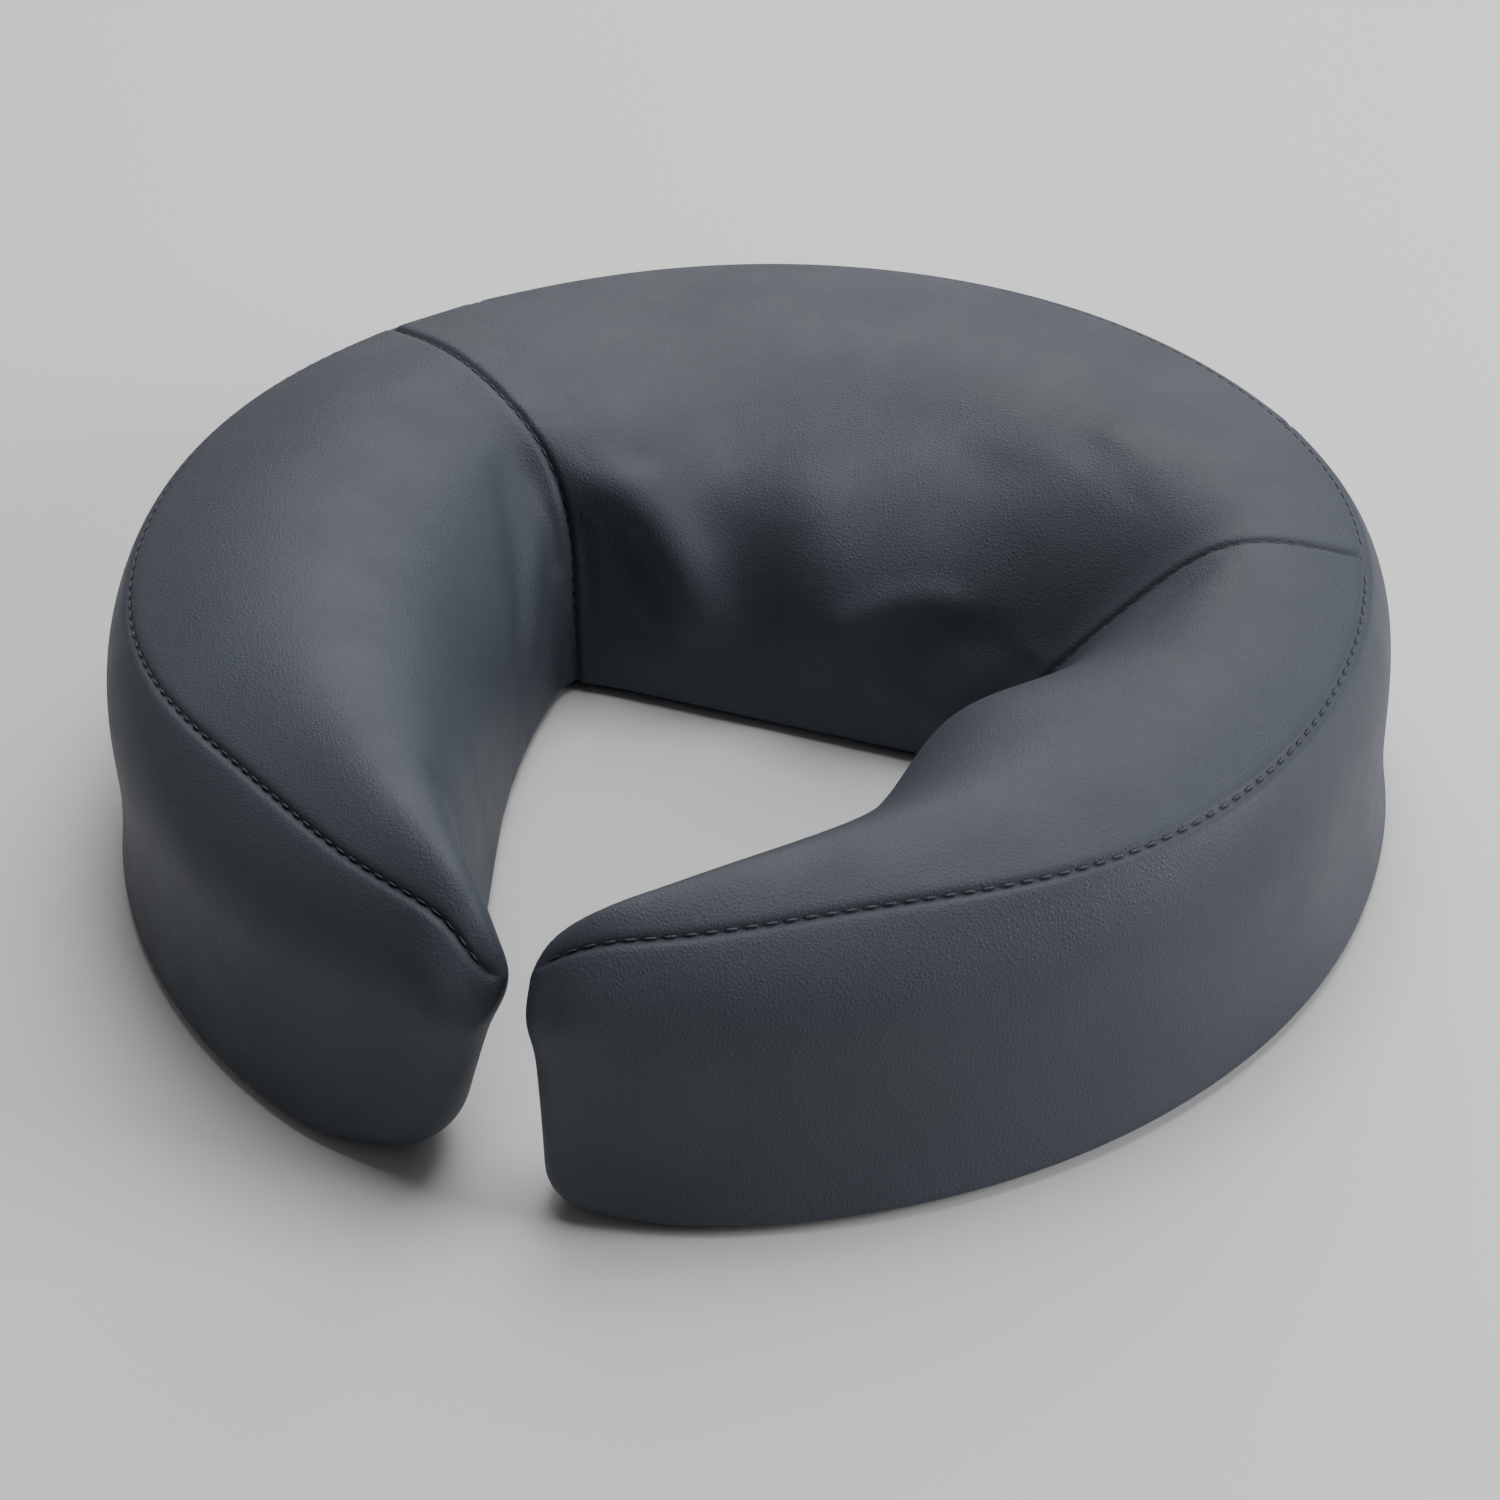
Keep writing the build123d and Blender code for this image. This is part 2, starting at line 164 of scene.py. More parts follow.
def rim_inset(angle):
    """How far the rim seam stands inside the outline."""
    back = BACK_INSET * np.clip(np.cos(np.radians(angle)), 0, None) ** 2
    front = ARM_INSET * bell(np.abs(angle) - ARM_MIDDLE, ARM_SPREAD)
    return RIM_INSET + back + front


def rim_height(angle):
    """Height of the rim seam, which dips to the tips and a little at the brow."""
    ends = end_distance(angle)
    left = LEFT_DIP * bell(ends, LEFT_DIP_LENGTH)
    right = RIGHT_DIP * (1 - rounded(ends, RIGHT_DIP_LENGTH))
    back = BROW_DIP * smoothstep(80, 30, np.abs(angle))
    return RIM_HEIGHT - np.where(angle < 0, left, right) - back


def foot_inset(angle, height):
    """How far the foot of the wall turns in under the cushion, most of all at the tips."""
    tips = np.where(angle < 0, LEFT_FOOT_ROUND, RIGHT_FOOT_ROUND)
    size = FOOT_ROUND + tips * bell(end_distance(angle), FOOT_LENGTH)
    short = np.clip(1 - (height - FLOOR_OF_WALL) / size, 0, 1)
    return size * (1 - np.sqrt(1 - 0.98 * short**2))


def wall_radius(angle, height):
    """Outer wall: it leans out from the base seam and rolls over to the rim seam."""
    rise = np.clip((height - FLOOR_OF_WALL) / (rim_height(angle) - FLOOR_OF_WALL), 0, 1)
    lean = FOOT_FLARE * (1 - rise) - rim_inset(angle) * rise
    roll = (1 + 5.2 * rim_inset(angle)) * rise**3 * (1 - rise)
    tip = 3.0 * bell(end_distance(angle), 20) * bell(rise - 0.84, 0.13)
    return outer(angle) + (lean + roll + tip - foot_inset(angle, height)) * nose(angle)


def brow(angle):
    """1 at the middle of the brow, 0 on the arms."""
    return np.exp(-((np.abs(angle) / BROW_SPREAD) ** 4))


def softplus(value, width):
    """0 below 0 and the value itself above, smooth between."""
    return width * np.log1p(np.exp(value / width))


def top_point(angle, turn):
    """Radius and height on the top, from the rim (turn 0) over the crown to the hole's foot (90)."""
    slump = 0.72 * bell(angle - 74, 28) + 0.45 * bell(angle - 150, 26)
    power = ARM_SHOULDER - BROW_SHOULDER * brow(angle)
    crown = (ARM_CROWN - BROW_FLATTENING * brow(angle)) * rounded(end_distance(angle), CROWN_LENGTH)
    share = np.sin(np.radians(turn)) ** (2 / power)
    shoulder = np.clip(np.cos(np.radians(turn)), 0, 1) ** (2 / power)
    slope = np.clip(1 - 1.66 * softplus(share - 0.40, 0.08), 0, 1)
    drop = shoulder + slump * np.minimum(slope - shoulder, 0)
    rim = wall_radius(angle, rim_height(angle))
    swell = crown * np.sin(np.clip(share / CROWN_SHARE, 0, 1) * np.pi / 2)
    height = (rim_height(angle) + swell - FLOOR_OF_WALL) * drop
    return rim - share * (rim - hole(angle)), FLOOR_OF_WALL + height


def leaned(angle, height):
    """Angle after the tips' own form: they lean, bulge under the rim and round off at the foot."""
    ends = end_distance(angle)
    lean = np.where(angle < 0, LEFT_LEAN, RIGHT_LEAN) * (height / RIM_HEIGHT - 0.5) * bell(ends, 45)
    bulge = TIP_BULGE * bell(height - TIP_BULGE_HEIGHT, 8) * bell(ends, 14)
    foot = foot_inset(angle, height) * bell(ends, 24)
    return angle + lean + np.sign(angle) * np.degrees((bulge - foot) / HALF_WIDTH)


def place(angle, radius, height):
    """Points in mm from angle, radius and height."""
    a, radius, height = np.broadcast_arrays(np.radians(leaned(angle, height)), radius, height)
    return np.stack([radius * np.sin(a), AXIS_Y + radius * np.cos(a), height], -1)


# ---------------------------------------------------------------- grids
def spaced(length, step, fine_start=True, fine_end=True):
    """Shares of a length from 0 to 1, close together at the ends that lie on a seam."""
    fine = np.array([0, 0.35, 0.7, 1.1, 1.6, 2.2, 3.0, 4.0, 5.2])
    start = fine if fine_start else fine[:1]
    end = length - (fine[::-1] if fine_end else fine[:1])
    count = max(2, int(round((end[0] - start[-1]) / step)))
    between = np.linspace(start[-1], end[0], count + 1)[1:-1]
    return np.concatenate([start, between, end]) / length


def resample(curves, shares):
    """Points at shares of each row's own length; curves is rows x samples x 3."""
    steps = np.linalg.norm(np.diff(curves, axis=1), axis=2)
    run = np.concatenate([np.zeros((len(curves), 1)), np.cumsum(steps, axis=1)], axis=1)
    out = np.empty((len(curves), len(shares), 3))
    for k, line in enumerate(curves):
        for c in range(3):
            out[k, :, c] = np.interp(shares * run[k, -1], run[k], line[:, c])
    return out


def normals(points):
    """Unit normals of a grid, pointing out of the pad."""
    n = np.cross(np.gradient(points, axis=1), np.gradient(points, axis=0))
    return n / np.maximum(np.linalg.norm(n, axis=2, keepdims=True), 1e-9)


def side_distances(points, axis):
    """Distance of each grid point from the first and from the last line along an axis."""
    steps = np.linalg.norm(np.diff(points, axis=axis), axis=2)
    first = np.concatenate([np.zeros_like(np.take(steps, [0], axis)), np.cumsum(steps, axis)], axis)
    return first, np.take(first, [-1], axis) - first


def seam_profile(distance):
    """Offset beside a seam: a narrow groove with the leather puffed up next to it."""
    puff = 0.4 * (1 - bell(distance, 2.2)) * np.exp(-distance / 7)
    return puff - 1.1 * bell(distance, 1.0)


def sew(points, angles, turned_under):
    """Pulls the grid down at its four sides, and turns some of their edges under."""
    n = normals(points)
    distances = side_distances(points, 0) + side_distances(points, 1)
    offset = sum(seam_profile(distance) for distance in distances)
    offset *= smoothstep(0.3, 5, end_distance(angles))[:, None]
    moved = points + n * offset[..., None]
    skirt = SKIRT * (0.02 + 0.98 * smoothstep(2, 14, end_distance(angles)))[:, None, None]
    for side in turned_under:
        axis = 0 if side in ("first", "last") else 1
        at = 0 if side in ("first", "low") else -1
        edge, direction = np.take(moved, [at], axis), np.take(n, [at], axis)
        under = edge - direction * (np.take(skirt, [at], 0) if axis == 0 else skirt)
        if axis == 0:
            skirt = np.concatenate([skirt, skirt[:1]] if at else [skirt[:1], skirt])
        if at == 0:
            moved, n = np.concatenate([under, moved], axis), np.concatenate([direction, n], axis)
        else:
            moved, n = np.concatenate([moved, under], axis), np.concatenate([n, direction], axis)
    return moved


def add_mesh(name, vertices, faces):
    """A smooth mesh object from points in mm."""
    mesh = bpy.data.meshes.new(name)
    mesh.from_pydata((np.asarray(vertices).reshape(-1, 3) * MM).tolist(), [], faces)
    mesh.update()
    mesh.shade_smooth()
    obj = bpy.data.objects.new(name, mesh)
    bpy.context.scene.collection.objects.link(obj)
    return obj


def grid_faces(rows, columns, wrap=False):
    """Quads of a grid; wrap joins the last column to the first."""
    index = np.arange(rows * columns).reshape(rows, columns)
    if wrap:
        index = np.concatenate([index, index[:, :1]], axis=1)
    corners = [index[:-1, :-1], index[:-1, 1:], index[1:, 1:], index[1:, :-1]]
    return np.stack(corners, -1).reshape(-1, 4).tolist()


def nose_angles():
    """Degrees from a tip's end, spaced evenly round its nose."""
    turn = np.radians(np.linspace(0, 90, 15))
    return np.degrees(NOSE_LENGTH * (1 - np.cos(turn)) / HALF_WIDTH)


def angles_between(first, last, seam_first, seam_last):
    """Angles along the outline, close together at seams and round the tips' noses."""
    near = nose_angles()
    start = first + near if first == LEFT_END else np.array([first])
    end = last - near[::-1] if last == RIGHT_END else np.array([last])
    length = math.radians(end[0] - start[-1]) * HALF_WIDTH
    body = start[-1] + (end[0] - start[-1]) * spaced(length, GRID_STEP, seam_first, seam_last)
    return np.concatenate([start[:-1], body, end[1:]])


# ---------------------------------------------------------------- folds in the leather
def fold_lift(turned, share, radius, start, end, width, height):
    """Offset of a soft ridge or hollow along a line between two (degrees, share) places."""
    centre = (start[0] + end[0]) / 2
    x, y = np.radians(turned - centre) * radius, share * TOP_LENGTH
    x0, x1 = (math.radians(place_angle - centre) * radius for place_angle in (start[0], end[0]))
    y0, y1 = start[1] * TOP_LENGTH, end[1] * TOP_LENGTH
    run = (x1 - x0) ** 2 + (y1 - y0) ** 2
    t = np.clip(((x - x0) * (x1 - x0) + (y - y0) * (y1 - y0)) / run, 0, 1)
    away = np.hypot(x - x0 - t * (x1 - x0), y - y0 - t * (y1 - y0))
    return height * bell(away, width)


# Each fold: where it starts and ends (degrees, share of the way from rim to hole), width, height.
BROW_FOLDS = {
    "pointed lobe left of the middle": ((-50, 0.62), (-37, 0.83), 8, 2.8),
    "hollow beside it": ((-28, 0.70), (-20, 0.84), 11, -1.3),
    "hollow by the left seam": ((-54, 0.70), (-54, 0.86), 9, -2.2),
    "broad lobe at the middle": ((5, 0.66), (28, 0.80), 13, 2.6),
    "ridge running up to the right": ((34, 0.79), (52, 0.69), 5, 1.6),
    "soft dip above it": ((22, 0.43), (44, 0.56), 18, -1.8),
    "hollow by the right corner": ((55, 0.80), (62, 0.72), 8, -2.0),
    "upright fold in the corner": ((62, 0.90), (66, 0.70), 5, 1.8),
    "slight dip across the slope": ((-20, 0.50), (6, 0.48), 14, -1.2),
}
LEFT_FOLDS = {
    "long crease down the inner side": ((-71, 0.54), (-93, 0.80), 6, -1.4),
    "puffed strip beside it": ((-66, 0.62), (-84, 0.80), 7, 1.3),
    "small fold by the seam": ((-66.5, 0.76), (-64.8, 0.86), 3, 1.1),
    "slight dent near the tip": ((-163, 0.35), (-168, 0.75), 6, -1.0),
}
RIGHT_FOLDS = {
    "puff on the inner side": ((114, 0.66), (104, 0.90), 15, 0.9),
}


# ---------------------------------------------------------------- cloth simulation
SETTLED = ("cover_brow_panel", "cover_left_panel", "cover_right_panel", "boxing_left", "boxing_right")
CLOTH_FRAMES = 20


def weights(at, knots):
    """Linear interpolation from values at knots to values at other places, as a matrix."""
    return np.array([np.interp(at, knots, one) for one in np.eye(len(knots))]).T


def regrid(grid, u, v, new_u, new_v):
    """A grid's values at other shares of its rows and columns."""
    return np.einsum("ia,jb,abc->ijc", weights(new_u, u), weights(new_v, v), grid)


def settled(grids):
    """Panels after the foam's pressure has swelled them between their seams.

    Each is simulated as cloth on a coarse copy that is pinned at its seams, and the coarse
    copy's movement, up to a cap, is carried over to the fine grid.
    """
    coarse = {}
    for node, points in grids.items():
        run_u = side_distances(points, 0)[0].max(axis=1)
        run_v = side_distances(points, 1)[0].max(axis=0)
        u, v = run_u / run_u[-1], run_v / run_v[-1]
        new_u = np.linspace(0, 1, int(run_u[-1] / CLOTH_STEP) + 2)
        new_v = np.linspace(0, 1, int(run_v[-1] / CLOTH_STEP) + 2)
        start = regrid(points, u, v, new_u, new_v)
        obj = add_mesh("settling_" + node, start, grid_faces(*start.shape[:2]))
        index = np.arange(start.shape[0] * start.shape[1]).reshape(start.shape[:2])
        border = np.concatenate([index[0], index[-1], index[:, 0], index[:, -1]])
        obj.vertex_groups.new(name="seams").add([int(i) for i in np.unique(border)], 1.0, "REPLACE")
        cloth = obj.modifiers.new("cloth", "CLOTH").settings
        cloth.quality = 6
        cloth.mass = 0.3
        cloth.tension_stiffness = 12
        cloth.compression_stiffness = 12
        cloth.bending_stiffness = 0.8
        cloth.vertex_group_mass = "seams"
        cloth.use_pressure = True
        cloth.uniform_pressure_force = 4
        cloth.effector_weights.gravity = 0
        coarse[node] = (obj, start, u, v, new_u, new_v)
    for frame_number in range(1, CLOTH_FRAMES + 1):
        bpy.context.scene.frame_set(frame_number)
    result = {}
    graph = bpy.context.evaluated_depsgraph_get()
    for node, (obj, start, u, v, new_u, new_v) in coarse.items():
        mesh = obj.evaluated_get(graph).data
        moved = np.empty(len(mesh.vertices) * 3)
        mesh.vertices.foreach_get("co", moved)
        shift = moved.reshape(start.shape) / MM - start
        size = np.linalg.norm(shift, axis=2, keepdims=True)
        shift *= np.minimum(1, CLOTH_CAP / np.maximum(size, 1e-6))
        result[node] = grids[node] + regrid(shift, new_u, new_v, u, v)
        bpy.data.objects.remove(obj)
    bpy.context.scene.frame_set(1)
    return result


# ---------------------------------------------------------------- leather pieces
def top_patch(rim_angles, hole_angles, folds):
    """Grid of a top panel; each row of points runs from the rim seam to the hole's foot."""
    turn = np.concatenate([np.linspace(0, 12, 25), np.linspace(12, 90, 160)[1:]])
    across = (turn / 90)[None, :]
    angle = rim_angles[:, None] * (1 - across) + hole_angles[:, None] * across
    radius, height = top_point(angle, turn[None, :])
    shares = spaced(TOP_LENGTH, GRID_STEP)
    points = resample(place(angle, radius, height), shares)
    plan_radius = np.hypot(points[..., 0], points[..., 1] - AXIS_Y)
    turned = np.degrees(np.arctan2(points[..., 0], points[..., 1] - AXIS_Y))
    lift = sum(fold_lift(turned, shares[None, :], plan_radius, *one) for one in folds.values())
    return points + normals(points) * lift[..., None]


def wall_patch(angles, low, high):
    """Grid of the outer wall; each row of points runs from its lower to its upper seam."""
    share = np.linspace(0, 1, 120)[None, :]
    angle = angles[:, None]
    floor = FLOOR_OF_WALL if low is None else low
    roof = rim_height(angle) if high is None else high
    height = floor + (roof - floor) * share
    length = (RIM_HEIGHT if high is None else high) - floor
    return resample(place(angle, wall_radius(angle, height), height), spaced(length, GRID_STEP))


def seam_shift(angle, seam_rim, seam_hole):
    """Angles at the hole for angles at the rim, so that the grid follows a slanting seam."""
    return angle + (seam_hole - seam_rim) * smoothstep(40, 0, np.abs(angle - seam_rim))


def build_leather():
    """Every sewn leather panel, each as its own piece."""
    every = ("first", "last", "low", "high")
    left_under, right_under = ("last", "low", "high"), ("first", "low", "high")
    brow_rim = angles_between(LEFT_SEAM_RIM, RIGHT_SEAM_RIM, True, True)
    brow_hole = np.interp(brow_rim, (LEFT_SEAM_RIM, RIGHT_SEAM_RIM), (LEFT_SEAM_HOLE, RIGHT_SEAM_HOLE))
    left_rim = angles_between(LEFT_END, LEFT_SEAM_RIM, False, True)
    left_hole = seam_shift(left_rim, LEFT_SEAM_RIM, LEFT_SEAM_HOLE)
    right_rim = angles_between(RIGHT_SEAM_RIM, RIGHT_END, True, False)
    right_hole = seam_shift(right_rim, RIGHT_SEAM_RIM, RIGHT_SEAM_HOLE)
    back = angles_between(-ZIP_ANGLE, ZIP_ANGLE, True, True)
    left_wall = angles_between(LEFT_END, -ZIP_ANGLE, False, True)
    right_wall = angles_between(ZIP_ANGLE, RIGHT_END, True, False)
    grids = {
        "cover_brow_panel": top_patch(brow_rim, brow_hole, BROW_FOLDS),
        "cover_left_panel": top_patch(left_rim, left_hole, LEFT_FOLDS),
        "cover_right_panel": top_patch(right_rim, right_hole, RIGHT_FOLDS),
        "boxing_left": wall_patch(left_wall, None, None),
        "boxing_right": wall_patch(right_wall, None, None),
        "zip_band_upper": wall_patch(back, ZIP_HIGH, None),
        "zip_band_lower": wall_patch(back, None, ZIP_LOW),
    }
    edges = {
        "cover_brow_panel": (brow_rim, every),
        "cover_left_panel": (left_rim, left_under),
        "cover_right_panel": (right_rim, right_under),
        "boxing_left": (left_wall, left_under),
        "boxing_right": (right_wall, right_under),
        "zip_band_upper": (back, every),
        "zip_band_lower": (back, every),
    }
    grids.update(settled({node: grids[node] for node in SETTLED}))
    made = []
    for node, points in grids.items():
        angles, turned_under = edges[node]
        sewn = sew(points, angles, turned_under)
        obj = add_mesh("leather_" + node, sewn, grid_faces(*sewn.shape[:2]))
        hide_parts(node)
        made.append(obj)
    tops = [grids[node] for node in ("cover_left_panel", "cover_brow_panel", "cover_right_panel")]
    return made, tops


# ---------------------------------------------------------------- stitches
def stitches(name, paths, depth, clear=4.4, pitch=4.4, length=2.9, radius=0.28):
    """Short raised threads along (points, normals) paths, clear of their ends.

    They are sunk by depth below the surface.
    """
    side_count, ring_count = 6, 5
    sides = np.radians(np.arange(0, 360, 360 // side_count))
    rings = np.linspace(-1, 1, ring_count)
    vertices, faces = [], []
    for points, directions in paths:
        steps = np.linalg.norm(np.diff(points, axis=0), axis=1)
        run = np.concatenate([[0], np.cumsum(steps)])
        at = np.arange(clear, run[-1] - clear / 2, pitch)
        centre = np.stack([np.interp(at, run, points[:, c]) for c in range(3)], -1)
        ahead = np.stack([np.interp(at + 1, run, points[:, c]) for c in range(3)], -1)
        behind = np.stack([np.interp(at - 1, run, points[:, c]) for c in range(3)], -1)
        out = np.stack([np.interp(at, run, directions[:, c]) for c in range(3)], -1)
        along = (ahead - behind) / np.linalg.norm(ahead - behind, axis=1, keepdims=True)
        side = np.cross(out, along)
        for c, t, n, b in zip(centre - out * depth, along, out, side):
            first = len(vertices)
            for ring in rings:
                size = radius * math.sqrt(1 - 0.9 * ring * ring)
                drop = 0.25 * radius * ring * ring
                middle_point = c + t * (ring * length / 2) - n * drop
                for turn in sides:
                    vertices.append(middle_point + (n * math.cos(turn) + b * math.sin(turn)) * size)
            for k in range(ring_count - 1):
                ring_start = first + side_count * k
                for m in range(side_count):
                    a, d = ring_start + m, ring_start + (m + 1) % side_count
                    faces.append((a, d, d + side_count, a + side_count))
            last = len(vertices) - side_count
            faces.append(tuple(first + m for m in range(side_count))[::-1])
            faces.append(tuple(last + m for m in range(side_count)))
    return add_mesh(name, np.array(vertices), faces)


def build_stitches(tops):
    """Stitches of the rim seam, the two panel seams, the base seam and the hook strips."""
    rim = []
    for points in tops:
        n = normals(points)
        outward = points[:, 0] * (1, 1, 0) - (0, AXIS_Y, 0)
        outward /= np.linalg.norm(outward, axis=1, keepdims=True)
        leaning = n[:, 0] + outward
        rim.append((points[:, 0], leaning / np.linalg.norm(leaning, axis=1, keepdims=True)))
    brow_grid = tops[1]
    n = normals(brow_grid)
    seams = [(brow_grid[0], n[0]), (brow_grid[-1], n[-1])]
    around = angles_between(LEFT_END, RIGHT_END, False, False)
    down = np.tile([0.0, 0.0, -1.0], (len(around), 1))
    foot = np.full(around.shape, FLOOR_OF_WALL)
    outside = place(around, wall_radius(around, foot) - SEAM_MARGIN * nose(around), foot)
    inside = place(around, hole(around) + SEAM_MARGIN * nose(around), foot)
    strips = []
    for node in ("hook_strip_left", "hook_strip_right", "hook_strip_brow"):
        low, high = (np.array(corner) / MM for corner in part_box(node))
        (x0, y0), (x1, y1) = low[:2] + STRIP_MARGIN, high[:2] - STRIP_MARGIN
        corners = np.array([(x0, y0, 0), (x1, y0, 0), (x1, y1, 0), (x0, y1, 0), (x0, y0, 0)], float)
        strips.append((resample(corners[None], np.linspace(0, 1, 200))[0], down[:1].repeat(200, 0)))
    return [
        stitches("stitches_rim_seam", rim, 0.62, clear=9.0),
        stitches("stitches_panel_seams", seams, 0.8),
        stitches("stitches_base_seam", [(outside, down), (inside, down)], 0.05),
        stitches("stitches_hook_strips", strips, 0.24),
    ]


# ---------------------------------------------------------------- base
def build_base():
    """The cloth base: a thin panel with rolled edges, sewn to the foot of the walls."""
    around = angles_between(LEFT_END, RIGHT_END, False, False)
    low, high = (corner.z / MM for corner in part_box("base_panel"))
    span = np.linspace(0, 1, 16)
    loops = []
    for angle in around:
        inner = float(hole(angle)) + PANEL_SHORT * float(nose(angle))
        outside = float(wall_radius(angle, FLOOR_OF_WALL)) - PANEL_SHORT * float(nose(angle))
        out_r = inner + (outside - inner) * span
        roll = PANEL_ROLL * (1 - np.sin(np.pi * np.clip(span * 12, 0, 1) / 2))
        roll += roll[::-1]
        loops.append(np.concatenate([
            place(angle, out_r, low + roll), place(angle, out_r[::-1], high - roll)
        ]))
    points = np.array(loops)
    rows, columns = points.shape[:2]
    faces = grid_faces(rows, columns, wrap=True)
    faces += [list(range(columns))[::-1], list(range((rows - 1) * columns, rows * columns))]
    obj = add_mesh("base_cloth_panel", points, faces)
    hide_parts("base_panel")
    return obj


# ---------------------------------------------------------------- foam
def sunk(radius, height, depth):
    """An outline moved inwards; it runs up the wall, over the top and down to the hole."""
    run_r, run_z = np.gradient(radius), np.gradient(height)
    size = np.maximum(np.hypot(run_r, run_z), 1e-6)
    return radius - depth * run_z / size, height + depth * run_r / size


def layer(node, low, high, depth):
    """A closed foam layer between two heights, lying a depth below the leather."""
    turn = np.linspace(0, 90, 90)
    loops = []
    for angle in np.linspace(LEFT_END + FOAM_SHORT, RIGHT_END - FOAM_SHORT, 150):
        up = np.linspace(FLOOR_OF_WALL, float(rim_height(angle)), 30)
        wall_r, wall_z = sunk(wall_radius(np.full(up.shape, angle), up), up, depth)
        top_r, top_z = sunk(*top_point(np.full(turn.shape, angle), turn), depth)
        wall = wall_z < max(top_z[0], low + 1)
        top = top_r < wall_r[wall][-1]
        r = np.concatenate([wall_r[wall], top_r[top]])
        z = np.concatenate([wall_z[wall], top_z[top]])
        peak = int(np.argmax(z))
        ceiling = min(high, z[peak])
        rising, falling = slice(0, peak + 1), slice(None, peak - 1 if peak else None, -1)
        ends = [np.interp([low, ceiling], z[side], r[side]) for side in (rising, falling)]
        inside = (z > low) & (z < ceiling)
        first, last = inside.copy(), inside
        first[peak:], last[:peak] = False, False
        r = np.concatenate([ends[0][:1], r[first], ends[0][1:], ends[1][1:], r[last], ends[1][:1]])
        z = np.concatenate([[low], z[first], [ceiling, ceiling], z[last], [low]])
        loops.append(place(angle, np.append(r, r[0]), np.append(z, z[0])))
    points = np.array([resample(loop[None], np.linspace(0, 1, 65)[:-1])[0] for loop in loops])
    rows, columns = points.shape[:2]
    faces = grid_faces(rows, columns, wrap=True)
    faces += [list(range(columns))[::-1], list(range((rows - 1) * columns, rows * columns))]
    obj = add_mesh("padding_" + node, points, faces)
    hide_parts(node)
    return obj


def build_foam():
    """The firm core and the soft layer on it."""
    return [
        layer("foam_support_core", CORE_FLOOR, LAYER_SPLIT, CORE_DEPTH),
        layer("foam_comfort_layer", LAYER_SPLIT, 2 * RIM_HEIGHT, COMFORT_DEPTH),
    ]


# ---------------------------------------------------------------- materials
class Surface:
    """A node material with a principled shader, built up with procedural detail."""

    def __init__(self, name, roughness, metallic=0.0, specular=0.5):
        self.material = bpy.data.materials.new(name)
        self.material.use_nodes = True
        self.nodes, self.links = self.material.node_tree.nodes, self.material.node_tree.links
        self.shader = self.nodes["Principled BSDF"]
        self.shader.inputs["Roughness"].default_value = roughness
        self.shader.inputs["Metallic"].default_value = metallic
        self.shader.inputs["Specular IOR Level"].default_value = specular
        self.place = self.nodes.new("ShaderNodeTexCoord").outputs["Object"]
        self.normal = None

    def stretched(self, factors):
        """Object coordinates scaled along each axis."""
        node = self.nodes.new("ShaderNodeMapping")
        node.inputs["Scale"].default_value = factors
        self.links.new(self.place, node.inputs["Vector"])
        return node.outputs["Vector"]

    def noise(self, size, detail=3.0, vector=None):
        """Soft noise whose features are size metres across."""
        node = self.nodes.new("ShaderNodeTexNoise")
        node.inputs["Scale"].default_value = 1 / size
        node.inputs["Detail"].default_value = detail
        self.links.new(vector or self.place, node.inputs["Vector"])
        return node.outputs["Fac"]

    def cells(self, size, feature="DISTANCE_TO_EDGE", vector=None):
        """Cells size metres across."""
        node = self.nodes.new("ShaderNodeTexVoronoi")
        node.feature = feature
        node.inputs["Scale"].default_value = 1 / size
        self.links.new(vector or self.place, node.inputs["Vector"])
        return node.outputs["Distance"]

    def ridges(self, size, direction):
        """Parallel ridges size metres apart."""
        node = self.nodes.new("ShaderNodeTexWave")
        node.bands_direction = direction
        node.inputs["Scale"].default_value = 0.314 / size
        node.inputs["Distortion"].default_value = 0.4
        self.links.new(self.place, node.inputs["Vector"])
        return node.outputs["Fac"]

    def remap(self, value, low, high):
        """A 0 to 1 texture value moved into a range."""
        node = self.nodes.new("ShaderNodeMapRange")
        node.inputs["From Min"].default_value = 0.25
        node.inputs["From Max"].default_value = 0.75
        node.inputs["To Min"].default_value = low
        node.inputs["To Max"].default_value = high
        self.links.new(value, node.inputs["Value"])
        return node.outputs["Result"]

    def color(self, value, dark, light):
        """Base colour that runs from dark to light with a texture value."""
        node = self.nodes.new("ShaderNodeValToRGB")
        node.color_ramp.elements[0].position = 0.3
        node.color_ramp.elements[1].position = 0.7
        node.color_ramp.elements[0].color = (*dark, 1)
        node.color_ramp.elements[1].color = (*light, 1)
        self.links.new(value, node.inputs["Fac"])
        self.links.new(node.outputs["Color"], self.shader.inputs["Base Color"])

    def rough(self, value, low, high):
        """Roughness that varies with a texture value."""
        self.links.new(self.remap(value, low, high), self.shader.inputs["Roughness"])

    def bump(self, value, depth, strength=1.0):
        """Adds relief, depth metres high."""
        node = self.nodes.new("ShaderNodeBump")
        node.inputs["Strength"].default_value = strength
        node.inputs["Distance"].default_value = depth
        self.links.new(value, node.inputs["Height"])
        if self.normal:
            self.links.new(self.normal, node.inputs["Normal"])
        self.normal = node.outputs["Normal"]
        self.links.new(self.normal, self.shader.inputs["Normal"])


